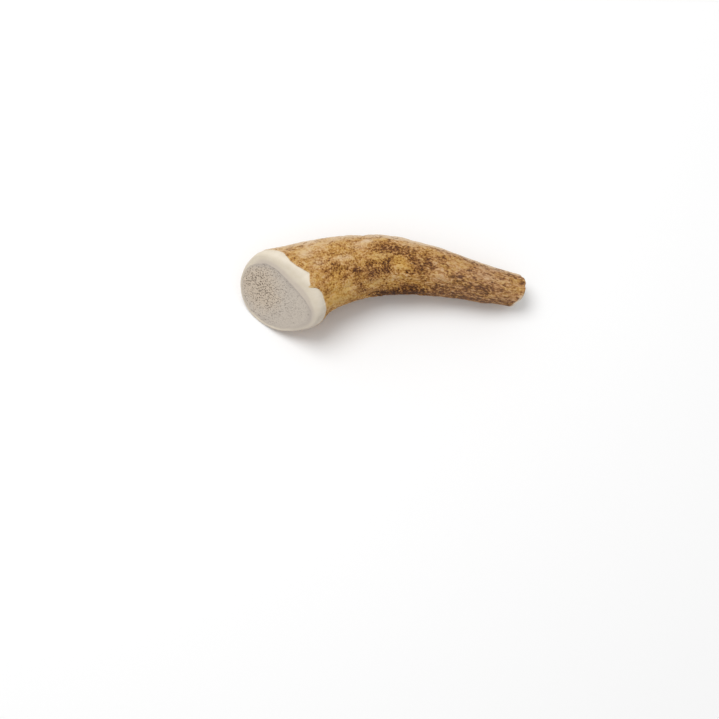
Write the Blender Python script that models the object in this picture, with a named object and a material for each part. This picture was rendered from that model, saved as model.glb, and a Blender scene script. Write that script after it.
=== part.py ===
"""A sawn length of deer antler, lying on its side with the arch of the beam flat on the surface.

The beam is one bone. It tapers from a broad end, sawn on a slant, to a small sawn tip. Rings of points
follow the beam from the one sawn face to the other. Near each end the rings lean over until they lie in
the plane of the saw cut. The edge of the big cut is sanded back to pale bone. The bark stands a little
proud of that band and ends along a scalloped line, where tongues of bark reach towards the cut.

Units are metres. +X runs along the beam towards the tip, +Y to the outside of the arch, +Z up. The
origin is at the middle of the underside's box, on the surface that the antler lies on.
"""

import math

import bmesh
import bpy
from mathutils import Vector, noise

MM = 0.001

# Stations down the beam, in millimetres: the middle of the section along X and Y, its half width across
# the arch, its half depth above the middle, its half depth below, and how far the underside lifts clear.
STATIONS = (
    (-79.7, -20.3, 26.5, 14.0, 28.4, 0.0),
    (-52.7, -8.1, 23.9, 12.5, 27.2, 0.1),
    (-34.9, 1.3, 19.6, 13.5, 22.3, 0.9),
    (-15.1, 7.9, 17.2, 15.0, 17.8, 0.4),
    (3.0, 9.7, 16.1, 15.0, 15.4, 0.1),
    (29.7, 6.7, 12.9, 12.6, 12.6, 0.8),
    (49.1, 2.1, 11.0, 10.9, 10.9, 0.7),
    (67.9, -1.2, 9.1, 8.8, 8.8, 0.0),
    (88.3, -4.0, 6.8, 6.8, 6.8, 0.0),
)

# The inner side of the arch flares out just before the big cut: where it is widest, in millimetres down the
# beam and degrees round it, how far it reaches both ways, and its height in millimetres.
FLARE_ALONG, FLARE_ANGLE = 38.0, 194.0
FLARE_REACH, FLARE_SPREAD, FLARE_HEIGHT = 9.0, 25.0, 2.3

# Each saw cut is a plane: a point in it, in millimetres, and the way that it faces.
BIG_CUT_POINT = (-49.9, -7.0, 26.9)
BIG_CUT_FACING = (-0.57, -0.60, 0.56)
TIP_CUT_POINT = (72.2, -1.3, 9.1)
TIP_CUT_FACING = (0.79, -0.10, -0.50)

# The sanded edge of the big cut, in millimetres. Its width across the sawn face is more on the upper
# side. Down the beam it ends at the bark: each pair is a direction round the beam, in degrees, and how
# far the bark stops short of the cut there. Between two wide places a tongue of bark is left.
EDGE_NARROW, EDGE_WIDE = 0.9, 4.6
BARK_STOPS = (
    (0, 5.6), (20, 6.2), (34, 6.0), (45, 5.4), (56, 3.7), (67, 1.9), (79, 1.9), (90, 2.9), (96, 3.9),
    (101, 2.9), (107, 1.2), (112, 0.4), (118, 1.5), (124, 3.3), (135, 4.3), (146, 4.6), (158, 5.2),
    (170, 5.6), (190, 6.0), (212, 4.0), (235, 1.3), (258, 2.1), (280, 1.2), (304, 2.4), (327, 3.4),
    (345, 4.6), (360, 5.6),
)
BARK_THICKNESS = 0.4
TIP_EDGE = 1.6

# The dense wall that shows round the spongy core in the big sawn face: a direction in degrees, and the
# wall's width there in millimetres. It is wide all along the upper side and thin along the lower side.
WALLS = (
    (0, 4.5), (15, 5.4), (30, 6.5), (45, 6.5), (60, 5.6), (75, 4.7), (90, 5.0), (105, 5.8), (120, 7.2),
    (135, 7.9), (150, 7.7), (160, 6.9), (170, 5.6), (180, 4.3), (190, 3.1), (200, 2.0), (212, 1.3),
    (225, 1.1), (240, 1.3), (255, 1.3), (270, 1.4), (285, 0.7), (300, 0.6), (315, 0.5), (330, 0.5),
    (345, 1.2), (360, 4.5),
)

# Relief of the bark, in millimetres: broad swells, furrows along the beam and the low pearls between them.
SWELL_HEIGHT, SWELL_SIZE = 0.7, 26.0
FURROW_DEPTH, FURROW_SPACING, FURROW_STRETCH = 0.7, 9.0, 5.0
PEARL_HEIGHT, PEARL_SIZE = 0.35, 7.0

# The sanding takes nearly all the relief off beside the big cut. It is whole this far behind the cut.
SMOOTH_REACH, SMOOTH_LEFT = 16.0, 0.12

# How finely the surface is divided.
AROUND = 64
EDGE_ROWS = 5
TIP_EDGE_ROWS = 3
BARK_ROWS = 60

BARK_COLOUR = (0.42, 0.25, 0.105)
BONE_COLOUR = (0.73, 0.64, 0.49)
CORE_COLOUR = (0.48, 0.41, 0.33)


def station_lengths():
    """Distance down the beam to each station, measured straight from one station to the next."""
    lengths = [0.0]
    for (x0, y0, *_), (x1, y1, *_) in zip(STATIONS, STATIONS[1:]):
        lengths.append(lengths[-1] + math.hypot(x1 - x0, y1 - y0))
    return lengths


LENGTHS = station_lengths()


def slopes():
    """Slope of every station column, as a smooth curve through the stations has there."""
    last = len(STATIONS) - 1
    found = []
    for i in range(len(STATIONS)):
        before, after = max(i - 1, 0), min(i + 1, last)
        run = LENGTHS[after] - LENGTHS[before]
        found.append([(b - a) / run for a, b in zip(STATIONS[before], STATIONS[after])])
    return found


SLOPES = slopes()


def beam_at(along):
    """The station columns, and their slopes, at a distance down the beam in millimetres."""
    i = 0
    while i < len(STATIONS) - 2 and along > LENGTHS[i + 1]:
        i += 1
    span = LENGTHS[i + 1] - LENGTHS[i]
    t = (along - LENGTHS[i]) / span
    values, rates = [], []
    for a, b, slope_a, slope_b in zip(STATIONS[i], STATIONS[i + 1], SLOPES[i], SLOPES[i + 1]):
        c = 3 * (b - a) - span * (2 * slope_a + slope_b)
        d = 2 * (a - b) + span * (slope_a + slope_b)
        values.append(a + t * (span * slope_a + t * (c + t * d)))
        rates.append((span * slope_a + t * (2 * c + t * 3 * d)) / span)
    return values, rates


def relief(along, angle, radius):
    """Height of the bark's relief in millimetres, from noise on the beam as if it were straightened."""
    across = Vector((radius * math.cos(angle), radius * math.sin(angle), 0.0))
    swell = noise.noise((across + Vector((0, 0, along))) / SWELL_SIZE)
    streak = (across + Vector((0, 0, along / FURROW_STRETCH))) / FURROW_SPACING
    furrow = max(0.0, 1.0 - 3.0 * abs(noise.noise(streak)))
    pearl = noise.noise((across + Vector((0, 0, along))) / PEARL_SIZE + Vector((40, 0, 0)))
    return SWELL_HEIGHT * swell - FURROW_DEPTH * furrow**2 + PEARL_HEIGHT * pearl


def flare(along, angle):
    """How far the inner side of the arch stands out near the big cut, in millimetres."""
    down = (along - FLARE_ALONG) / FLARE_REACH
    turn = math.degrees(math.remainder(angle - math.radians(FLARE_ANGLE), math.tau)) / FLARE_SPREAD
    return FLARE_HEIGHT * math.exp(-(down**2) - turn**2)


def bark_point(along, angle, raised=0.0):
    """A point of the beam's outside, in millimetres. Angle 0 is the outside of the arch, a quarter turn is up."""
    (x, y, half_width, above, below, lift), (x_rate, y_rate, *_) = beam_at(along)
    outward = Vector((-y_rate, x_rate, 0)).normalized()
    depth = above if math.sin(angle) > 0 else below
    centre = Vector((x, y, below + lift))
    reach = outward * half_width * math.cos(angle) + Vector((0, 0, depth * math.sin(angle)))
    behind = (Vector(BIG_CUT_POINT) - centre - reach).dot(Vector(BIG_CUT_FACING).normalized())
    t = min(1.0, max(0.0, behind / SMOOTH_REACH))
    left = SMOOTH_LEFT + (1 - SMOOTH_LEFT) * t * t * (3 - 2 * t)
    grown = 1 + (relief(along, angle, half_width) * left + flare(along, angle) + raised) / reach.length
    return centre + reach * grown


def along_at_plane(angle, point, facing, low, high):
    """Distance down the beam where the line at this angle meets a saw cut."""
    point, facing = Vector(point), Vector(facing)
    low_side = (bark_point(low, angle) - point).dot(facing) > 0
    for _ in range(40):
        middle = (low + high) / 2
        if ((bark_point(middle, angle) - point).dot(facing) > 0) == low_side:
            low = middle
        else:
            high = middle
    return (low + high) / 2


def looked_up(table, angle):
    """The millimetres that a table of directions gives at this angle."""
    degrees = math.degrees(angle) % 360
    for (before, a), (after, b) in zip(table, table[1:]):
        if degrees <= after:
            return a + (b - a) * (degrees - before) / (after - before)
    return table[-1][1]


def rows_at(angle):
    """The points of one line down the antler, from the big sawn face to the small one, with the zone of each."""
    whole = LENGTHS[-1]
    big = along_at_plane(angle, BIG_CUT_POINT, BIG_CUT_FACING, 0.0, whole / 2)
    tip = along_at_plane(angle, TIP_CUT_POINT, TIP_CUT_FACING, whole / 2, whole)
    upper = 0.5 + 0.5 * math.sin(angle)
    edge = EDGE_NARROW + (EDGE_WIDE - EDGE_NARROW) * upper
    wall = looked_up(WALLS, angle)
    bark_start = big + looked_up(BARK_STOPS, angle)
    bark_end = tip - TIP_EDGE

    rim = bark_point(big, angle, raised=-BARK_THICKNESS)
    side = bark_point(bark_start, angle, raised=-BARK_THICKNESS)
    points = rounded(BIG_CUT_POINT, BIG_CUT_FACING, rim, side, edge, EDGE_ROWS)
    centre = Vector(BIG_CUT_POINT)
    points.insert(0, points[0] + (centre - points[0]).normalized() * wall)
    zones = ["bone"] * len(points)
    for row in range(BARK_ROWS + 1):
        points.append(bark_point(bark_start + (bark_end - bark_start) * row / BARK_ROWS, angle))
        zones.append("bark")
    rim = bark_point(tip, angle)
    tip_edge = rounded(TIP_CUT_POINT, TIP_CUT_FACING, rim, points[-1], TIP_EDGE, TIP_EDGE_ROWS)
    points += tip_edge[-2::-1]
    zones += ["bone"] * TIP_EDGE_ROWS
    return points, zones


def rounded(centre, facing, rim, side, width, rows):
    """The rounded edge between a sawn face and the beam's side, from the face outwards to the side."""
    centre, facing = Vector(centre), Vector(facing).normalized()
    face = rim + (centre - rim).normalized() * width
    face -= facing * (face - centre).dot(facing)
    curve = []
    for row in range(rows + 1):
        q = row / rows
        curve.append(face * (1 - q) ** 2 + rim * 2 * q * (1 - q) + side * q * q)
    return curve


def principled(name, colour, roughness):
    material = bpy.data.materials.new(name)
    material.use_nodes = True
    shader = material.node_tree.nodes["Principled BSDF"]
    shader.inputs["Base Color"].default_value = (*colour, 1.0)
    shader.inputs["Roughness"].default_value = roughness
    shader.inputs["Metallic"].default_value = 0.0
    return material


def build_antler():
    lines = [rows_at(math.tau * column / AROUND) for column in range(AROUND)]
    last_row = len(lines[0][0]) - 1

    bm = bmesh.new()
    bmesh.ops.create_grid(bm, x_segments=AROUND, y_segments=last_row, size=1.0)
    zone_of = {}
    for vertex in bm.verts:
        column = round((vertex.co.x + 1) / 2 * AROUND) % AROUND
        row = round((vertex.co.y + 1) / 2 * last_row)
        points, zones = lines[column]
        vertex.co = points[row] * MM
        zone_of[vertex] = zones[row]
    for face in bm.faces:
        face.material_index = 0 if all(zone_of[v] == "bark" for v in face.verts) else 1
    bmesh.ops.remove_doubles(bm, verts=bm.verts, dist=1e-6)
    sawn = bmesh.ops.holes_fill(bm, edges=bm.edges, sides=AROUND)["faces"]
    for face in sawn:
        face.material_index = 2
    bmesh.ops.recalc_face_normals(bm, faces=bm.faces)

    mesh = bpy.data.meshes.new("antler")
    bm.to_mesh(mesh)
    bm.free()
    mesh.shade_smooth()
    mesh.set_sharp_from_angle(angle=math.radians(40))
    antler = bpy.data.objects.new("antler", mesh)
    bpy.context.scene.collection.objects.link(antler)
    mesh.materials.append(principled("bark", BARK_COLOUR, 0.62))
    mesh.materials.append(principled("sanded_bone", BONE_COLOUR, 0.5))
    mesh.materials.append(principled("spongy_bone", CORE_COLOUR, 0.8))
    return antler


for old in list(bpy.data.objects):
    bpy.data.objects.remove(old)
build_antler()
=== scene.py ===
"""A sawn length of deer antler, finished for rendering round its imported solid.

Units are metres, and the beam's own sizes are in millimetres. +X runs along the beam towards the tip,
+Y to the outside of the arch and +Z up from the floor that the antler lies on.
"""

import math

import bmesh
import bpy
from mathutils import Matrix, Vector, noise


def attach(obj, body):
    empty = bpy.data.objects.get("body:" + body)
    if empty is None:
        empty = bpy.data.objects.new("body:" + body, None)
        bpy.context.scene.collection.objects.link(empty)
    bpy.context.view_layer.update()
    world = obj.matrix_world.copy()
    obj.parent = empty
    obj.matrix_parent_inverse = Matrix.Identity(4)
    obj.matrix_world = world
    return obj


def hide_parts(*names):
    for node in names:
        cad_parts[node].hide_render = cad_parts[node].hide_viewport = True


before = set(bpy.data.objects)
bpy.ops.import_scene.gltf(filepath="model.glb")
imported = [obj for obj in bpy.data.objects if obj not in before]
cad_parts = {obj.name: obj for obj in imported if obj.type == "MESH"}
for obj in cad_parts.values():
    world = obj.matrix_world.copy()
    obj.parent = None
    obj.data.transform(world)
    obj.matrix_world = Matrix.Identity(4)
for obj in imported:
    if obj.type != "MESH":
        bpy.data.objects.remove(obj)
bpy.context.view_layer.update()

# The beam: one curved, tapering length of antler bone, sawn through at both ends. Lines of points follow
# it from the middle of the big sawn face over the sanded edge, down the bark and over the tip's edge to
# the middle of the small sawn face.

MM = 0.001

# Stations down the beam, in millimetres: the middle of the section along X and Y, its half width across
# the arch, its half depth above the middle, its half depth below, and how far the underside lifts clear.
STATIONS = (
    (-79.7, -20.3, 26.5, 14.0, 28.4, 0.0),
    (-52.7, -8.1, 23.9, 12.5, 27.2, 0.1),
    (-34.9, 1.3, 19.6, 13.5, 22.3, 0.9),
    (-15.1, 7.9, 17.2, 15.0, 17.8, 0.4),
    (3.0, 9.7, 16.1, 15.0, 15.4, 0.1),
    (29.7, 6.7, 12.9, 12.6, 12.6, 0.8),
    (49.1, 2.1, 11.0, 10.9, 10.9, 0.7),
    (67.9, -1.2, 9.1, 8.8, 8.8, 0.0),
    (88.3, -4.0, 6.8, 6.8, 6.8, 0.0),
)

lengths = [0.0]
for (x0, y0, *_), (x1, y1, *_) in zip(STATIONS, STATIONS[1:]):
    lengths.append(lengths[-1] + math.hypot(x1 - x0, y1 - y0))

slopes = []
for i in range(len(STATIONS)):
    before, after = max(i - 1, 0), min(i + 1, len(STATIONS) - 1)
    run = lengths[after] - lengths[before]
    slopes.append([(b - a) / run for a, b in zip(STATIONS[before], STATIONS[after])])


def beam_at(along):
    """The station columns, and their slopes, at a distance down the beam in millimetres."""
    i = 0
    while i < len(STATIONS) - 2 and along > lengths[i + 1]:
        i += 1
    span = lengths[i + 1] - lengths[i]
    t = (along - lengths[i]) / span
    values, rates = [], []
    for a, b, slope_a, slope_b in zip(STATIONS[i], STATIONS[i + 1], slopes[i], slopes[i + 1]):
        c = 3 * (b - a) - span * (2 * slope_a + slope_b)
        d = 2 * (a - b) + span * (slope_a + slope_b)
        values.append(a + t * (span * slope_a + t * (c + t * d)))
        rates.append((span * slope_a + t * (2 * c + t * 3 * d)) / span)
    return values, rates


def smooth_step(low, high, value):
    """0 at the low value and beyond, 1 at the high one and beyond, and a smooth change between them."""
    t = min(1.0, max(0.0, (value - low) / (high - low)))
    return t * t * (3 - 2 * t)


def hump(value, middle, reach):
    """1 at the middle, and a smooth fall towards 0 on both sides of it."""
    return math.exp(-(((value - middle) / reach) ** 2))


# The relief that the solid has too, in millimetres: broad swells, furrows along the beam and low pearls.
# Here and below, a whole number added to a noise's place only keeps one pattern apart from the next.
SWELL_HEIGHT, SWELL_SIZE = 0.7, 26.0
FURROW_DEPTH, FURROW_SPACING, FURROW_STRETCH, FURROW_SHARPNESS = 0.7, 9.0, 5.0, 9.0
PEARL_HEIGHT, PEARL_SIZE = 0.35, 7.0


def broad_relief(along, angle, radius):
    """Height of the broad relief in millimetres, from noise on the beam as if it were straightened."""
    across = Vector((radius * math.cos(angle), radius * math.sin(angle), 0.0))
    swell = noise.noise((across + Vector((0, 0, along))) / SWELL_SIZE)
    streak = (across + Vector((0, 0, along / FURROW_STRETCH))) / FURROW_SPACING
    furrow = max(0.0, 1.0 - FURROW_SHARPNESS * noise.noise(streak) ** 2)
    pearl = noise.noise((across + Vector((0, 0, along))) / PEARL_SIZE + Vector((40, 0, 0)))
    return SWELL_HEIGHT * swell - FURROW_DEPTH * furrow**2 + PEARL_HEIGHT * pearl


# The patterns of the bark are drawn out along the beam: not at all at the big end, and more towards the
# tip. How many times, and from and to where in millimetres down the beam.
DRAWN_BIG, DRAWN_TIP, DRAWN_FROM, DRAWN_TO = 1.0, 2.3, 70, 155
drawn_lengths = [0.0]
for whole in range(math.ceil(lengths[-1])):
    t = min(1.0, max(0.0, (whole - DRAWN_FROM) / (DRAWN_TO - DRAWN_FROM)))
    drawn_lengths.append(drawn_lengths[-1] + 1 / (DRAWN_BIG + (DRAWN_TIP - DRAWN_BIG) * t))


def straightened(along, angle):
    """Where a pattern of the bark is read, in millimetres: on the beam made straight and less long."""
    radius = beam_at(along)[0][2]
    whole = int(along)
    drawn = drawn_lengths[whole] + (drawn_lengths[whole + 1] - drawn_lengths[whole]) * (along - whole)
    return Vector((radius * math.cos(angle), radius * math.sin(angle), drawn))


# The grain of the bark, in millimetres: small pearls, pits between them, and fine lines along the beam.
# Down the beam the pearls and pits get lower and the lines deeper.
GRAIN_HEIGHT, GRAIN_SIZE = 0.32, 2.2
PEARL_TOP, PEARL_FALL = 0.55, 1.6
PIT_DEPTH, PIT_SIZE, PIT_LEVEL = 0.5, 3.2, 0.12
LINE_DEPTH, LINE_SPACING, LINE_STRETCH, LINE_SHARPNESS = 0.25, 2.6, 4.5, 5.0
WAVE_HEIGHT, WAVE_SIZE = 0.5, 2.2
LINED_FROM, LINED_OVER = 40, 110

# The grain's waves come from seeded noise, so that the antler is the same each time it is made.
GRAIN_SEED = 1
noise.seed_set(GRAIN_SEED)


def fine_relief(along, angle):
    """Height of the bark's grain in millimetres. It is below zero in the pits and lines."""
    down = min(1.0, max(0.0, (along - LINED_FROM) / LINED_OVER))
    place = straightened(along, angle)
    wavy = place + WAVE_HEIGHT * noise.noise_vector(place / WAVE_SIZE)
    nearest = noise.voronoi(wavy / GRAIN_SIZE)[0][0]
    grain = PEARL_TOP - PEARL_FALL * nearest * nearest
    pits = max(0.0, noise.noise(wavy / PIT_SIZE + Vector((7, 3, 1))) - PIT_LEVEL)
    place.z /= LINE_STRETCH
    line_noise = noise.noise(place / LINE_SPACING + Vector((0, 9, 0)))
    lines = max(0.0, 1.0 - LINE_SHARPNESS * abs(line_noise))
    return (
        GRAIN_HEIGHT * (1 - 0.4 * down) * grain
        - PIT_DEPTH * (1 - 0.4 * down) * pits
        - LINE_DEPTH * (0.25 + 0.75 * down) * lines
    )


# The inner side of the arch flares out just before the big cut: where it is widest, in millimetres down the
# beam and degrees round it, how far it reaches both ways, and its height in millimetres.
FLARE_ALONG, FLARE_ANGLE = 38.0, 194.0
FLARE_REACH, FLARE_SPREAD, FLARE_HEIGHT = 9.0, 25.0, 2.3

# The two saw cuts: a point of each and the way it faces. Near the big one the beam is sanded nearly smooth:
# how far that reaches in millimetres, and the share of the broad relief that is left.
BIG_CUT, BIG_CUT_FACING = Vector((-49.9, -7.0, 26.9)), Vector((-0.57, -0.60, 0.56)).normalized()
TIP_CUT, TIP_CUT_FACING = Vector((72.2, -1.3, 9.1)), Vector((0.79, -0.10, -0.50)).normalized()
SMOOTH_REACH, SMOOTH_LEFT = 16.0, 0.12


def flare(along, angle):
    """How far the inner side of the arch stands out near the big cut, in millimetres."""
    down = (along - FLARE_ALONG) / FLARE_REACH
    turn = math.degrees(math.remainder(angle - math.radians(FLARE_ANGLE), math.tau)) / FLARE_SPREAD
    return FLARE_HEIGHT * math.exp(-(down**2) - turn**2)


def beam_point(along, angle, raised=0.0):
    """A point of the beam's outside in millimetres. Angle 0 faces out of the arch, and a quarter turn up."""
    (x, y, half_width, above, below, lift), (x_rate, y_rate, *_) = beam_at(along)
    outward = Vector((-y_rate, x_rate, 0)).normalized()
    depth = above if math.sin(angle) > 0 else below
    centre = Vector((x, y, below + lift))
    reach = outward * half_width * math.cos(angle) + Vector((0, 0, depth * math.sin(angle)))
    behind = (BIG_CUT - centre - reach).dot(BIG_CUT_FACING)
    left = SMOOTH_LEFT + (1 - SMOOTH_LEFT) * smooth_step(0.0, SMOOTH_REACH, behind)
    grown = 1 + (broad_relief(along, angle, half_width) * left + flare(along, angle) + raised) / reach.length
    return centre + reach * grown


# Round the big cut the edge is sanded, and the bark stops short of it. The pairs are a direction round the
# beam, in degrees, and how far short the bark stops there, in millimetres.
BARK_STOPS = (
    (0, 5.6), (20, 6.2), (34, 6.0), (45, 5.4), (56, 3.7), (67, 1.9), (79, 1.9), (90, 2.9), (96, 3.9),
    (101, 2.9), (107, 1.2), (112, 0.4), (117, 0.5), (121, 1.9), (126, 3.4), (135, 4.3), (146, 4.6),
    (158, 5.2), (170, 5.6), (190, 6.0), (212, 4.0), (235, 1.3), (258, 2.1), (280, 1.2), (304, 2.4),
    (327, 3.4), (345, 4.6), (360, 5.6),
)
BARK_THICKNESS, BARK_SLOPE, BARK_LEAST_STOP = 0.4, 0.35, 0.3

# The sanded edge is rounded, in millimetres: narrow at the underside, wide on top, and narrower again in one
# place on the inner side. A tongue of bark reaches over it. Places and spreads round the beam are in degrees.
EDGE_NARROW, EDGE_WIDE = 0.9, 4.6
EDGE_DIP, EDGE_DIP_ANGLE, EDGE_DIP_SPREAD = 1.1, 190, 22
TONGUE_REACH, TONGUE_ANGLE, TONGUE_SPREAD = 0.72, 117, 3.2

# The width of the dense wall on the flat of the cut, in millimetres, measured from where the rounded edge
# starts, for directions in degrees. Its border with the core is blurred, most of all at the lower inner
# corner, which is dull too, with fewer pores and darker with painted shade, and a greyer skirt of the core
# lies along it.
WALLS = (
    (0, 4.5), (15, 5.4), (30, 6.5), (45, 6.5), (60, 5.6), (75, 4.7), (90, 5.0), (105, 5.8), (120, 7.2),
    (135, 7.9), (150, 7.7), (160, 6.9), (170, 5.6), (180, 4.3), (190, 3.1), (200, 2.0), (212, 1.3),
    (225, 1.1), (240, 1.3), (255, 1.3), (270, 1.4), (285, 0.7), (300, 0.6), (315, 0.5), (330, 0.5),
    (345, 1.2), (360, 4.5),
)
CORE_BLUR, SKIRT = 0.4, 2.6
CORNER_BLUR, CORNER_ANGLE, CORNER_SPREAD = 1.1, 198, 34

# The tip: the width of its rounded edge and of its dense wall, in millimetres, and the side, in degrees,
# where the bark of that edge is rubbed off.
TIP_EDGE, TIP_WALL = 1.6, 2.2
RUB_ANGLE, RUB_SPREAD = 162, 28

# How many columns of faces go round the beam, how many rows each part has down a line, and how many times
# the search for a saw cut halves its step.
AROUND = 288
FACE_ROWS, EDGE_ROWS, BARK_ROWS, TIP_EDGE_ROWS, TIP_FACE_ROWS = 70, 12, 214, 9, 14
HALVINGS = 24


def looked_up(pairs, angle):
    """The millimetres that a table of directions gives at this angle."""
    degrees = math.degrees(angle) % 360
    for (before, a), (after, b) in zip(pairs, pairs[1:]):
        if degrees <= after:
            return a + (b - a) * (degrees - before) / (after - before)


def along_at_plane(angle, point, facing, low, high):
    """Distance down the beam where the line at this angle meets a saw cut."""
    low_side = (beam_point(low, angle) - point).dot(facing) > 0
    for _ in range(HALVINGS):
        middle = (low + high) / 2
        if ((beam_point(middle, angle) - point).dot(facing) > 0) == low_side:
            low = middle
        else:
            high = middle
    return (low + high) / 2


def rounded(centre, facing, rim, side, width, rows):
    """The rounded edge between a sawn face and the beam's side, from the face outwards to the side."""
    inner = rim + (centre - rim).normalized() * width
    face = inner - facing * (inner - centre).dot(facing)
    curve = []
    for row in range(rows + 1):
        q = row / rows
        curve.append(face * (1 - q) ** 2 + rim * 2 * q * (1 - q) + side * q * q)
    return curve


# The pores of the spongy core are open pits in the big face, in millimetres. They are widest in the middle
# of the core, where the bone is most open. A pore's radius is in spacings: the least, and how much it grows.
PORE_SPACING, PORE_DEPTH, PORE_STEEPNESS = 1.5, 0.7, 1.8
PORE_LEAST, PORE_GROWTH = 0.12, 0.18
POROUS_MIDDLE, POROUS_REACH = Vector((-64.4, -2.7, 16.7)), 15.0


def pore_at(point, core):
    """How open the bone is at a point of the big face, from 0 to 1, and the depth of a pore there."""
    open_here = math.exp(-(((point - POROUS_MIDDLE).length / POROUS_REACH) ** 2))
    if core <= 0:
        return open_here, 0.0
    away = noise.voronoi(point / PORE_SPACING)[0][0]
    pit = PORE_STEEPNESS * max(0.0, 1 - away / (PORE_LEAST + PORE_GROWTH * open_here))
    return open_here, PORE_DEPTH * core * min(1.0, pit)


# Stains of the bark, each a soft patch: how far down the beam it is in millimetres, its direction round the
# beam in degrees, its reach along and around in millimetres, how much darker it is, and how purple. Those on
# the inner side of the arch, from 160 to 192 degrees and from 88 mm down the beam on, are painted shade as
# well as stain: a painted shadow along that side.
STAINS_AND_SHADE = (
    (57.8, 102, 5.5, 5.0, 0.45, 0.5), (70.8, 115, 3.2, 3.4, 0.7, 0.8), (79.5, 123, 5.0, 4.5, 1.0, 0.9),
    (88.4, 103, 3.5, 4.0, 1.0, 0.3), (87.8, 119, 2.6, 3.0, 0.8, 0.7), (86.8, 77, 8.0, 2.8, 0.75, 0.9),
    (97.5, 75, 6.0, 3.0, 0.6, 0.9), (72.2, 152, 2.8, 3.0, 0.8, 0.7), (50.6, 132, 2.6, 5.0, 0.6, 0.3),
    (63.2, 127, 2.0, 4.0, 0.5, 0.1), (98.6, 150, 7.0, 2.6, 0.7, 0.3), (88.0, 179, 9.0, 4.5, 2.0, 0.0),
    (103.0, 173, 9.0, 4.5, 1.9, 0.0), (66.8, 76, 3.0, 2.0, 0.35, 0.3), (105.0, 103, 4.0, 4.0, 0.7, 0.9),
    (110.6, 90, 4.0, 3.0, 0.4, 0.9), (115.4, 74, 5.0, 2.0, 0.3, 0.9), (126.2, 109, 3.2, 3.0, 0.7, 0.9),
    (135.8, 117, 4.0, 2.4, 0.5, 0.9), (145.0, 120, 8.0, 2.2, 0.5, 0.9), (131.6, 138, 6.0, 2.4, 0.4, 0.8),
    (120.0, 138, 5.0, 2.5, 0.35, 0.9), (153.2, 154, 6.0, 3.0, 0.4, 0.9), (122.0, 166, 12.0, 4.0, 0.6, 0.6),
    (143.0, 160, 10.0, 4.0, 0.45, 0.8), (126.0, 192, 18.0, 5.0, 0.72, 0.3),
    (149.0, 184, 12.0, 4.5, 0.65, 0.4), (138.0, 50, 18.0, 4.0, 0.25, 2.0),
    (132.0, 105, 26.0, 14.0, 0.15, 2.4), (112.0, 46, 5.0, 1.0, 0.5, 0.9), (122.5, 48, 6.0, 0.9, 0.5, 0.9),
    (134.0, 50, 6.0, 0.9, 0.5, 0.9), (159.8, 78, 1.6, 1.4, 0.8, 0.3), (64.0, 210, 12.0, 8.0, 0.5, 0.2),
    (92.0, 225, 16.0, 7.0, 0.7, 0.2), (70.0, 300, 10.0, 7.0, 0.5, 0.6), (104.0, 320, 14.0, 6.0, 0.6, 0.5),
    (130.0, 260, 14.0, 6.0, 0.6, 0.4), (82.0, 340, 9.0, 4.0, 0.4, 0.6),
)
# Pale patches, the same way: how much lighter each is, how far it is worn to grey, and how golden it is.
# The wide golden one at 51 mm and 158 degrees is painted light as well as colour: it brightens a side that
# the lamp leaves in shade.
PALE_AND_LIT_PATCHES = (
    (84.8, 91, 4.2, 2.6, 0.5, 0.12, 0.5), (96.0, 101, 4.5, 3.0, -0.04, 0.0, 0.85),
    (65.0, 88, 4.5, 2.5, 0.4, 0.5, 0.0), (78.8, 58, 3.5, 1.6, 0.5, 0.7, 0.0),
    (51.8, 84, 4.0, 3.0, 0.35, 0.3, 0.0), (57.8, 114, 2.6, 3.0, 0.4, 0.0, 0.5),
    (64.4, 139, 3.0, 3.5, 0.4, 0.0, 0.6), (51.0, 158, 10.0, 8.0, 0.6, 0.0, 1.0),
    (106.4, 138, 4.0, 2.6, 0.35, 0.0, 0.0), (116.6, 118, 6.0, 3.5, 0.35, 0.1, 0.0),
    (85.4, 141, 6.0, 2.5, 0.3, 0.0, 0.4), (47.6, 64, 4.0, 3.0, 0.3, 0.4, 0.0),
    (53.6, 50, 10.0, 5.0, 0.3, 0.2, 0.2), (102.2, 62, 4.0, 2.6, 0.35, 0.2, 0.0),
    (142.0, 86, 8.0, 3.0, 0.2, 0.2, 0.0), (45.0, 100, 4.0, 4.0, 0.3, 0.1, 0.3),
    (60.0, 260, 10.0, 8.0, 0.35, 0.3, 0.4), (110.0, 290, 12.0, 6.0, 0.35, 0.3, 0.2),
    (50.0, 20, 12.0, 8.0, 0.2, 0.2, 0.0), (117.0, 34, 17.0, 3.6, 0.44, 0.6, 0.0),
    (74.2, 68, 4.5, 2.4, 0.35, 0.3, 0.2),
)
PATCH_END = 2.2

# Over the patches lie clouds of lighter and darker bark: their share of the tone and size in millimetres.
CLOUD_SHARE, CLOUD_SIZE, DRIFT_SHARE, DRIFT_SIZE = 0.3, 9.0, 0.2, 22.0

# A pale grey band along the outside of the arch is partly wear and partly a painted sheen along that edge:
# its direction, and how far it swings up round the middle of the beam, in degrees, its reach in radians,
# and where it swings and over how many millimetres.
WORN_AND_SHEEN_MIDDLE, WORN_AND_SHEEN_SWING, WORN_AND_SHEEN_REACH = 12.5, 11.0, 0.39
WORN_AND_SHEEN_SWINGS_AT, WORN_AND_SHEEN_SWINGS_OVER = 98, 30

# The bark gets hazy down the beam, and its specks are crispest there and in one place before: where that
# is, in millimetres.
HAZE_FROM, HAZE_TO = 98.0, 132.0
CRISP_AT, CRISP_OVER = 90, 20


def patch_share(along, angle, radius, patch):
    """How strongly a soft patch shows at a place of the bark, from 0 to 1."""
    middle_along, middle_angle, reach_along, reach_around, *_ = patch
    down = (along - middle_along) / reach_along
    if abs(down) > PATCH_END:
        return 0.0
    turn = math.remainder(angle - math.radians(middle_angle), math.tau)
    return math.exp(-(down**2) - (turn * radius / reach_around) ** 2)


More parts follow.
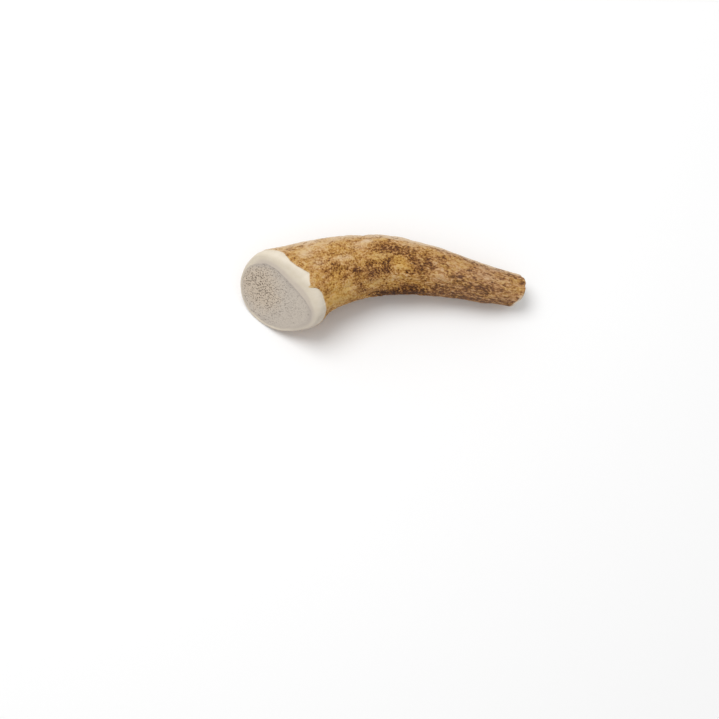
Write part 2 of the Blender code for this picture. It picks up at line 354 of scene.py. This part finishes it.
def bark_marks(along, angle):
    """The bark's tone, purple, gold, wear and painted sheen at a place, and how crisp and hazy its specks."""
    radius = beam_at(along)[0][2]
    place = straightened(along, angle)
    cloud = noise.noise(place / CLOUD_SIZE + Vector((3, 1, 4)))
    drift = noise.noise(place / DRIFT_SIZE + Vector((8, 2, 6)))
    tone = CLOUD_SHARE * cloud + DRIFT_SHARE * drift
    purple = gold = 0.0
    for patch in STAINS_AND_SHADE:
        share = patch_share(along, angle, radius, patch)
        tone -= patch[4] * share
        purple += patch[4] * patch[5] * share
    middle = WORN_AND_SHEEN_MIDDLE + WORN_AND_SHEEN_SWING * hump(along, WORN_AND_SHEEN_SWINGS_AT, WORN_AND_SHEEN_SWINGS_OVER)
    turn = math.remainder(angle - math.radians(middle), math.tau)
    ragged = 0.2 * noise.noise(place / 6.0 + Vector((1, 7, 7))) + 0.12 * noise.noise(place / 2.5)
    worn_and_sheen = hump(turn + ragged, 0.0, WORN_AND_SHEEN_REACH)
    for patch in PALE_AND_LIT_PATCHES:
        share = patch_share(along, angle, radius, patch)
        tone += patch[4] * share
        worn_and_sheen += patch[5] * share
        gold += patch[6] * share
    haze = smooth_step(HAZE_FROM, HAZE_TO, along)
    crisp = 0.85 + 0.17 * hump(along, CRISP_AT, CRISP_OVER) + 0.32 * haze
    return {
        "tone": tone, "purple": min(1.0, purple), "worn_and_sheen": min(1.0, worn_and_sheen), "gold": min(1.0, gold),
        "crisp": crisp, "haze": haze,
    }


# What else the material is told at each point: whether it is bark or spongy core, how flat the cut is there,
# which on the lower side of the rounded edge is painted shade instead, how open the bone is, how near the
# border of the core, how dull it is, which near the lower inner corner is painted shade too, and its height
# in millimetres. On sanded bone, where there is no grain, the height is instead a painted highlight: how pale
# the edge is painted.
SURFACE_MARKS = ("bark", "core", "flat", "porous", "skirt", "dull_and_shade", "height")


def spot(point, along, angle, **marks):
    """A point of the surface in metres, its straightened place, and all its marks."""
    marks = dict.fromkeys(SURFACE_MARKS, 0.0) | marks | bark_marks(along, angle)
    return point * MM, straightened(along, angle) * MM, marks


def big_end(angle, big, bark_start):
    """One line over the big end: the sawn face from its middle outwards, then the rounded edge."""
    degrees = math.degrees(angle)
    upper = 0.5 + 0.5 * math.sin(angle)
    dip = EDGE_DIP * hump(degrees, EDGE_DIP_ANGLE, EDGE_DIP_SPREAD)
    edge = EDGE_NARROW + (EDGE_WIDE - EDGE_NARROW) * upper - dip
    tongue = TONGUE_REACH * hump(degrees, TONGUE_ANGLE, TONGUE_SPREAD)
    corner = hump(degrees, CORNER_ANGLE, CORNER_SPREAD)
    wall = looked_up(WALLS, angle)
    blur = CORE_BLUR * (2.0 - smooth_step(0.5, 5.0, wall)) + CORNER_BLUR * corner
    rim = beam_point(big, angle, raised=-BARK_THICKNESS)
    side = beam_point(bark_start, angle, raised=-BARK_THICKNESS)
    edge_points = rounded(BIG_CUT, BIG_CUT_FACING, rim, side, edge, EDGE_ROWS)
    crest = edge_points[0]
    across_face = (crest - BIG_CUT).length
    line = []
    for row in range(FACE_ROWS):
        point = BIG_CUT + (crest - BIG_CUT) * row / FACE_ROWS
        to_crest = across_face * (1 - row / FACE_ROWS)
        inside = to_crest + 0.5 * noise.noise(point / 4.0) + 0.25 * noise.noise(point / 1.3) - wall
        core = smooth_step(-blur, blur, inside)
        skirt = hump(max(0.0, inside), 0.0, SKIRT) * smooth_step(0.5, 4.0, wall)
        porous, depth = pore_at(point, core)
        marks = {"core": core, "flat": smooth_step(0.2, 3.6, to_crest), "porous": porous, "skirt": skirt}
        marks["dull_and_shade"] = corner * smooth_step(9.0, 3.0, to_crest)
        line.append(spot(point - BIG_CUT_FACING * depth, big, angle, height=-depth, **marks))
    for row, point in enumerate(edge_points):
        q = row / EDGE_ROWS
        # On the rounded edge the upper side gets a painted highlight along the middle of the curve, and the
        # lower side painted shade: greyer, and darker still at the lower inner corner.
        marks = {"bark": smooth_step(1.05 - tongue, 1.15 - tongue, q), "flat": 0.7 * (1.0 - upper) ** 2}
        marks["dull_and_shade"] = corner * (1.0 - 0.5 * q)
        paleness_with_highlight = upper * math.sin(math.pi * q**1.5)
        line.append(spot(point, big + (bark_start - big) * q, angle, height=paleness_with_highlight, **marks))
    return line


def bark_side(angle, bark_start, bark_end, rub):
    """One line down the bark, from its step at the sanded edge to the tip's edge. The grain fades at both."""
    step = beam_point(bark_start + 0.3 * BARK_SLOPE, angle, raised=-0.45 * BARK_THICKNESS)
    line = [spot(step, bark_start, angle, bark=0.6)]
    top = bark_start + BARK_SLOPE
    for row in range(BARK_ROWS + 1):
        along = top + (bark_end - top) * row / BARK_ROWS
        fade = smooth_step(0.0, 1.5, along - top + 0.5) * smooth_step(0.0, 2.0, bark_end - along + 0.6)
        height = fine_relief(along, angle) * fade
        bark = 1.0 - rub * smooth_step(bark_end - 0.5, bark_end, along)
        line.append(spot(beam_point(along, angle, raised=height), along, angle, bark=bark, height=height))
    return line


def tip_end(angle, tip, bark_end, rub):
    """One line over the tip: its rounded edge, then the small sawn face to its middle."""
    rim, side = beam_point(tip, angle), beam_point(bark_end, angle)
    edge_points = rounded(TIP_CUT, TIP_CUT_FACING, rim, side, TIP_EDGE, TIP_EDGE_ROWS)
    line = []
    for row, point in enumerate(edge_points[-2::-1], 1):
        q = row / TIP_EDGE_ROWS
        marks = {"bark": (1.0 - rub) * smooth_step(0.8, 0.5, q), "flat": 0.5 * smooth_step(0.6, 1.0, q)}
        # Where the bark is rubbed off, the bare edge also gets a painted highlight.
        line.append(spot(point, bark_end + (tip - bark_end) * q, angle, height=rub, **marks))
    crest = edge_points[0]
    across_face = (crest - TIP_CUT).length
    for row in range(1, TIP_FACE_ROWS + 1):
        point = crest + (TIP_CUT - crest) * row / TIP_FACE_ROWS
        to_crest = across_face * row / TIP_FACE_ROWS
        core = smooth_step(TIP_WALL - CORE_BLUR, TIP_WALL + CORE_BLUR, to_crest)
        line.append(spot(point, tip, angle, core=core, flat=1.0, porous=0.35))
    return line


def beam_line(angle):
    """One line of points down the whole antler at this angle, each with its marks for the material."""
    whole = lengths[-1]
    big = along_at_plane(angle, BIG_CUT, BIG_CUT_FACING, 0.0, whole / 2)
    tip = along_at_plane(angle, TIP_CUT, TIP_CUT_FACING, whole / 2, whole)
    around = Vector((math.cos(angle), math.sin(angle), 1.0))
    ragged = 0.2 * noise.noise(around * 11) + 0.25 * noise.noise(around * 24) + 0.2 * noise.noise(around * 47)
    bark_start = big + max(BARK_LEAST_STOP, looked_up(BARK_STOPS, angle) + ragged)
    bark_end = tip - TIP_EDGE
    rub = hump(math.degrees(angle), RUB_ANGLE, RUB_SPREAD)
    bark_line = bark_side(angle, bark_start, bark_end, rub)
    return big_end(angle, big, bark_start) + bark_line + tip_end(angle, tip, bark_end, rub)


lines = [beam_line(math.tau * column / AROUND) for column in range(AROUND)]
last_row = len(lines[0]) - 1

# A grid is wrapped round: its columns go round the beam and its rows down it. The merge closes the seam
# and the middle of each sawn face.
bm = bmesh.new()
bmesh.ops.create_grid(bm, x_segments=AROUND, y_segments=last_row, size=1.0)
straight_layer = bm.verts.layers.float_vector.new("straight")
mark_layers = {name: bm.verts.layers.float.new(name) for name in lines[0][0][2]}
for vertex in bm.verts:
    column = round((vertex.co.x + 1) / 2 * AROUND) % AROUND
    row = round((vertex.co.y + 1) / 2 * last_row)
    vertex.co, vertex[straight_layer], marks = lines[column][row]
    for name, value in marks.items():
        vertex[mark_layers[name]] = value
bmesh.ops.remove_doubles(bm, verts=bm.verts, dist=1e-7)
bmesh.ops.recalc_face_normals(bm, faces=bm.faces)

beam_mesh = bpy.data.meshes.new("antler_beam")
bm.to_mesh(beam_mesh)
bm.free()
beam_mesh.shade_smooth()
antler_beam = bpy.data.objects.new("antler_beam", beam_mesh)
bpy.context.scene.collection.objects.link(antler_beam)

# The antler's finish. Shader values are wired with ordinary arithmetic: a Wire is one output of a node.


class Wire:
    """One output of a shader node. Arithmetic on it adds Math nodes, and node() adds any other kind."""

    def __init__(self, tree, socket=None):
        self.tree, self.socket = tree, socket

    def node(self, kind, values, output=0, stops=None, **settings):
        """A Wire from a new node with these settings, ramp stops, and values or links of its sockets."""
        made = self.tree.nodes.new(kind)
        for name, setting in settings.items():
            setattr(made, name, setting)
        for place, (position, colour) in enumerate(stops or ()):
            elements = made.color_ramp.elements
            stop = elements[place] if place < 2 else elements.new(position)
            stop.position, stop.color = position, (*colour, 1.0)
        for place, value in values.items():
            if isinstance(value, Wire):
                self.tree.links.new(value.socket, made.inputs[place])
            else:
                made.inputs[place].default_value = value
        return Wire(self.tree, made.outputs[output])

    def math(self, operation, first, second):
        return self.node("ShaderNodeMath", {0: first, 1: second}, operation=operation)

    def __add__(self, other):
        return self.math("ADD", self, other)

    def __sub__(self, other):
        return self.math("SUBTRACT", self, other)

    def __rsub__(self, other):
        return self.math("SUBTRACT", other, self)

    def __mul__(self, other):
        return self.math("MULTIPLY", self, other)

    __radd__ = __add__
    __rmul__ = __mul__


def marked(paint, name, output="Fac"):
    """One of the marks that the mesh carries."""
    return paint.node("ShaderNodeAttribute", {}, output, attribute_name=name)


def scaled(place, by):
    """The place multiplied along each axis. A pattern on it is drawn out where that is below 1."""
    return place.node("ShaderNodeVectorMath", {0: place, 1: by}, "Vector", operation="MULTIPLY")


def drawn_out(place, stretch):
    """The straightened place, so that a pattern on it comes out this many times longer along the beam."""
    return scaled(place, (1.0, 1.0, 1.0 / stretch))


def mottle(place, size, detail=3.0, roughness=0.55):
    """Soft noise whose features are about this many millimetres across, as a Wire round 0."""
    values = {"Vector": place, "Scale": 1.0 / (size * MM), "Detail": detail, "Roughness": roughness}
    return place.node("ShaderNodeTexNoise", values, "Fac") - 0.5


def ease(wire, low, high):
    """0 below the low value, 1 above the high one, and a smooth rise between them."""
    values = {"Value": wire, "From Min": low, "From Max": high}
    return wire.node("ShaderNodeMapRange", values, "Result", interpolation_type="SMOOTHSTEP")


def dots(place, spacing, radius, blur, scatter=1.0):
    """1 in scattered round dots and 0 between them. The radius is in spacings, and may be a Wire."""
    values = {"Vector": place, "Scale": 1.0 / (spacing * MM), "Randomness": scatter}
    away = place.node("ShaderNodeTexVoronoi", values, "Distance")
    return ease(radius - away, -blur, blur)


def mixed(share, under, over):
    """The over colour laid on the under colour by this share."""
    return share.node("ShaderNodeMix", {0: share, 6: under, 7: over}, 2, data_type="RGBA")


def tinted(colour, tint):
    """The colour multiplied by the tint."""
    values = {0: 1.0, 6: colour, 7: tint}
    return colour.node("ShaderNodeMix", values, 2, data_type="RGBA", blend_type="MULTIPLY")


# The bark's colours, from the dark of its pits to the pale of its pearls. A ramp starts with two stops, so
# its two ends come first.
BARK_TONES = (
    (0.0, (0.035, 0.010, 0.001)), (1.0, (0.575, 0.39, 0.175)), (0.2, (0.095, 0.031, 0.004)),
    (0.38, (0.195, 0.076, 0.013)), (0.52, (0.29, 0.130, 0.026)), (0.64, (0.38, 0.184, 0.042)),
    (0.76, (0.455, 0.244, 0.066)), (0.88, (0.515, 0.308, 0.105)),
)
PURPLE_BROWN, HAZE_BROWN = (0.135, 0.058, 0.026, 1), (0.25, 0.116, 0.040, 1)
WORN_AND_SHEEN_GREY, GOLD, HAZE_PINK = (0.63, 0.49, 0.34, 1), (0.53, 0.29, 0.055, 1), (0.46, 0.275, 0.15, 1)
GOLD_TINT, MAUVE_TINT = (1.0, 0.985, 0.82, 1), (1.0, 0.985, 1.18, 1)

# The colours of the sanded bone and of the spongy core, with those of its painted highlight and painted
# shade.
CREAM, CREAM_PALE_AND_HIGHLIGHT, WALL_GREY_AND_SHADE = (0.65, 0.572, 0.453, 1), (0.71, 0.64, 0.532, 1), (0.548, 0.476, 0.4, 1)
SPONGE_WARM, SPONGE_GREY = (0.575, 0.48, 0.375, 1), (0.54, 0.478, 0.408, 1)
SPONGE_EDGE_AND_SHADE, PORE_SHADE = (0.41, 0.36, 0.315, 1), (0.14, 0.10, 0.07, 1)

# The sizes of the patterns in millimetres, and how high or deep the small ones are.
SPECK_SIZE, FLECK_SIZE, BLOT_SIZE, STREAK_SIZE, STREAK_STRETCH = 0.9, 2.6, 3.4, 1.4, 3.8
HUE_SIZE, HUE_STRETCH, HUE_DRIFT_SIZE = 1.5, 1.6, 7.0
SCRATCH_SIZE, SCRATCH_SCALE = 0.35, (1.0, 0.12, 1.6)
WORN_FLECK_SPACING, TINY_PORE_SPACING, WIDE_PORE_SPACING = 2.2, 0.85, 1.15
SPECK_RISE, FLECK_RISE, STREAK_RISE = 0.22, 0.25, 0.12
BONE_RISE, TINY_PORE_RISE, WIDE_PORE_DEPTH = 0.02, -0.06, 0.2

# Roughness: the bark's and how much smoother its pale places are, the sanded bone's and how much rougher
# the core is. The sheen is low all over.
BARK_ROUGH, BARK_SMOOTHER, BONE_ROUGH, CORE_ROUGHER = 0.68, 0.18, 0.48, 0.27
SPECULAR_LEVEL = 0.17

antler_finish = bpy.data.materials.new("antler")
antler_finish.use_nodes = True
shader = antler_finish.node_tree.nodes["Principled BSDF"]
paint = Wire(antler_finish.node_tree)

straight = marked(paint, "straight", "Vector")
place = paint.node("ShaderNodeTexCoord", {}, "Object")
bark, core, flat, porous = (marked(paint, name) for name in ("bark", "core", "flat", "porous"))
skirt, dull_and_shade, height = (marked(paint, name) for name in ("skirt", "dull_and_shade", "height"))
tone, purple, worn_and_sheen = (marked(paint, name) for name in ("tone", "purple", "worn_and_sheen"))
gold, crisp, haze = (marked(paint, name) for name in ("gold", "crisp", "haze"))

# Bark: one tone, from the stains, the height of the grain and several sizes of mottling, picks its colour.
speck = mottle(straight, SPECK_SIZE, roughness=0.7)
fleck = mottle(straight, FLECK_SIZE, detail=1.0)
streak = mottle(drawn_out(straight, STREAK_STRETCH), STREAK_SIZE, detail=2.0)
blot = ease(mottle(straight, BLOT_SIZE) + tone * 0.12, -0.06, 0.07)
ground = 0.645 + tone * 0.32 + blot * 0.14 + fleck * crisp * 0.6 + streak * 0.45
grained = ground + speck * crisp * (1.9 + 1.4 * ease(0.8 - ground, 0.0, 0.3)) + height * 0.35
bark_colour = paint.node("ShaderNodeValToRGB", {0: grained}, "Color", stops=BARK_TONES)

# Gold and brown lie on its paler places, haze on all of it and purple brown in its dark ones, and the hue
# drifts a little everywhere.
on_pale = ease(grained, 0.35, 0.7)
bark_colour = mixed(gold * 0.35 * on_pale, bark_colour, GOLD)
bark_colour = mixed(purple * 0.34 * on_pale, bark_colour, HAZE_BROWN)
bark_colour = mixed(haze * (0.15 + 0.12 * ease(grained, 0.3, 0.75)), bark_colour, HAZE_PINK)
bark_colour = mixed(purple * ease(0.7 - grained, 0.0, 0.35) * 0.45, bark_colour, PURPLE_BROWN)
hue_grain = mottle(drawn_out(straight, HUE_STRETCH), HUE_SIZE, roughness=0.6)
hue = hue_grain + mottle(straight, HUE_DRIFT_SIZE, detail=1.0) * 0.6
tint = mixed(ease(hue + gold * 0.12 - purple * 0.1, -0.2, 0.2), MAUVE_TINT, GOLD_TINT)
bark_colour = tinted(bark_colour, tint)

# Where the bark is worn it is pale grey, in flecks and along the worn band, and least so in its pits. The
# band is painted sheen as well as wear.
worn_fleck = dots(straight, WORN_FLECK_SPACING, 0.02 + mottle(straight, 6.0) * 0.5, 0.05)
bark_colour = mixed(worn_fleck * 0.7, bark_colour, WORN_AND_SHEEN_GREY)
worn_through = ease(grained + worn_and_sheen * 0.45 + streak * 2.0, 0.5, 1.0)
bark_colour = mixed(worn_and_sheen * (0.25 + 0.7 * worn_through), bark_colour, WORN_AND_SHEEN_GREY)

# Sanded bone: smooth and cream round the edge, greyer where the flat cut crosses the dense wall. The pale
# upper side of the rounded edge and the tip's rubbed side are a painted highlight, and the greyer lower side
# of the edge and the darker lower inner corner are painted shade.
paleness_with_highlight = ease(mottle(place, 3.5), -0.12, 0.15) * 0.4 + ease(height, 0.2, 1.0) * 0.5
bone_colour = mixed(paleness_with_highlight, CREAM, CREAM_PALE_AND_HIGHLIGHT)
bone_colour = mixed(flat * (0.9 + mottle(place, 2.0) * 0.6), bone_colour, WALL_GREY_AND_SHADE)
scratch = mottle(scaled(place, SCRATCH_SCALE), SCRATCH_SIZE)
bone_colour = mixed(ease(scratch, 0.05, 0.25) * 0.12, bone_colour, SPONGE_EDGE_AND_SHADE)
bone_colour = mixed(dull_and_shade * 0.5, bone_colour, SPONGE_EDGE_AND_SHADE)

# Spongy core: grey brown, full of pores that are widest in the middle, with a greyer skirt at its border.
# The dark of the pores is painted shade, darkest where the pits in the mesh are deepest.
tiny_pore = dots(place, TINY_PORE_SPACING, 0.3 + mottle(place, 1.5) * 0.35, 0.1, 0.8)
wide_radius = 0.12 + porous * 0.22 + mottle(place, 3.5) * 0.35
wide_pore = dots(place, WIDE_PORE_SPACING, wide_radius, 0.08, 0.7)
core_colour = mixed(ease(porous + mottle(place, 5.0) * 0.6, 0.2, 0.8), SPONGE_GREY, SPONGE_WARM)
greyness = skirt * 0.65 + ease(mottle(place, 0.8, roughness=0.7), -0.1, 0.15) * 0.4
core_colour = mixed(greyness, core_colour, SPONGE_EDGE_AND_SHADE)
core_colour = mixed(tiny_pore * (0.32 + 0.15 * porous) * (1.0 - dull_and_shade), core_colour, PORE_SHADE)
core_colour = mixed(wide_pore * (0.3 + 0.55 * porous), core_colour, PORE_SHADE)
# Painted shade in the pits, by their depth.
core_colour = mixed(ease(0.0 - height, 0.1, 0.5) * 0.35, core_colour, PORE_SHADE)

# The three meet, with a grey ring where the core gives way to the dense wall.
colour = mixed(core, bone_colour, core_colour)
colour = mixed(core * (1.0 - core) * 1.8, colour, SPONGE_EDGE_AND_SHADE)
colour = mixed(bark, colour, bark_colour)

bark_rise = speck * (SPECK_RISE * MM) + fleck * (FLECK_RISE * MM) + streak * (STREAK_RISE * MM)
bone_rise = mottle(place, 0.6) * (BONE_RISE * MM)
core_rise = tiny_pore * (TINY_PORE_RISE * MM) - wide_pore * (WIDE_PORE_DEPTH * MM)
rise = bark_rise * bark + (bone_rise + core_rise * core) * (1.0 - bark)
dented = paint.node("ShaderNodeBump", {"Height": rise, "Distance": 1.0, "Strength": 1.0}, "Normal")

bark_rough = BARK_ROUGH - BARK_SMOOTHER * ease(grained, 0.4, 0.9)
roughness = bark * bark_rough + (1.0 - bark) * (BONE_ROUGH + CORE_ROUGHER * core)

for name, wire in (("Base Color", colour), ("Roughness", roughness), ("Normal", dented)):
    paint.tree.links.new(wire.socket, shader.inputs[name])
shader.inputs["Metallic"].default_value = 0.0
shader.inputs["Specular IOR Level"].default_value = SPECULAR_LEVEL
beam_mesh.materials.append(antler_finish)

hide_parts("antler")
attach(antler_beam, "root")

# The floor: a plain pale table top, larger than the view.

FLOOR_SIZE = 6.0
FLOOR_COLOUR, FLOOR_ROUGHNESS = (0.89, 0.89, 0.89, 1.0), 0.7

bm = bmesh.new()
bmesh.ops.create_grid(bm, x_segments=1, y_segments=1, size=FLOOR_SIZE / 2)
floor_mesh = bpy.data.meshes.new("floor")
bm.to_mesh(floor_mesh)
bm.free()
floor = bpy.data.objects.new("floor", floor_mesh)
bpy.context.scene.collection.objects.link(floor)
floor_material = bpy.data.materials.new("floor")
floor_material.use_nodes = True
floor_shader = floor_material.node_tree.nodes["Principled BSDF"]
floor_shader.inputs["Base Color"].default_value = FLOOR_COLOUR
floor_shader.inputs["Roughness"].default_value = FLOOR_ROUGHNESS
floor_mesh.materials.append(floor_material)

# The light: a bright even surround, and one broad soft lamp beyond the outside of the arch, high up.

KEY_PLACE, KEY_SIZE, KEY_POWER = Vector((-0.3, 0.3, 1.05)), 0.8, 7.4
SURROUND_COLOUR, SURROUND_STRENGTH = (1.0, 1.0, 1.0, 1.0), 0.68

key = bpy.data.lights.new("key", "AREA")
key.shape = "DISK"
key.size = KEY_SIZE
key.energy = KEY_POWER
key_lamp = bpy.data.objects.new("key", key)
key_lamp.location = KEY_PLACE
key_lamp.rotation_euler = (-KEY_PLACE).to_track_quat("-Z", "Y").to_euler()
bpy.context.scene.collection.objects.link(key_lamp)

world = bpy.data.worlds.new("surround")
world.use_nodes = True
surround = world.node_tree.nodes["Background"]
surround.inputs["Color"].default_value = SURROUND_COLOUR
surround.inputs["Strength"].default_value = SURROUND_STRENGTH
bpy.context.scene.world = world
bpy.context.scene.view_settings.view_transform = "Standard"

# The camera: it looks down on the antler from the open side of the arch, steeply, as in the photograph,
# and stands well back with a long lens.

CAMERA_AIM = Vector((-0.0122, -0.0377, 0.0003))
CAMERA_ELEVATION, CAMERA_DISTANCE = math.radians(72.0), 0.8997
CAMERA_LENS, CAMERA_CLIP_START = 85.0, 0.01

camera = bpy.data.cameras.new("camera")
camera.lens = CAMERA_LENS
camera.clip_start = CAMERA_CLIP_START
camera_object = bpy.data.objects.new("camera", camera)
away = Vector((0, -math.cos(CAMERA_ELEVATION), math.sin(CAMERA_ELEVATION)))
camera_object.location = CAMERA_AIM + away * CAMERA_DISTANCE
camera_object.rotation_euler = (-away).to_track_quat("-Z", "Y").to_euler()
bpy.context.scene.collection.objects.link(camera_object)
bpy.context.scene.camera = camera_object
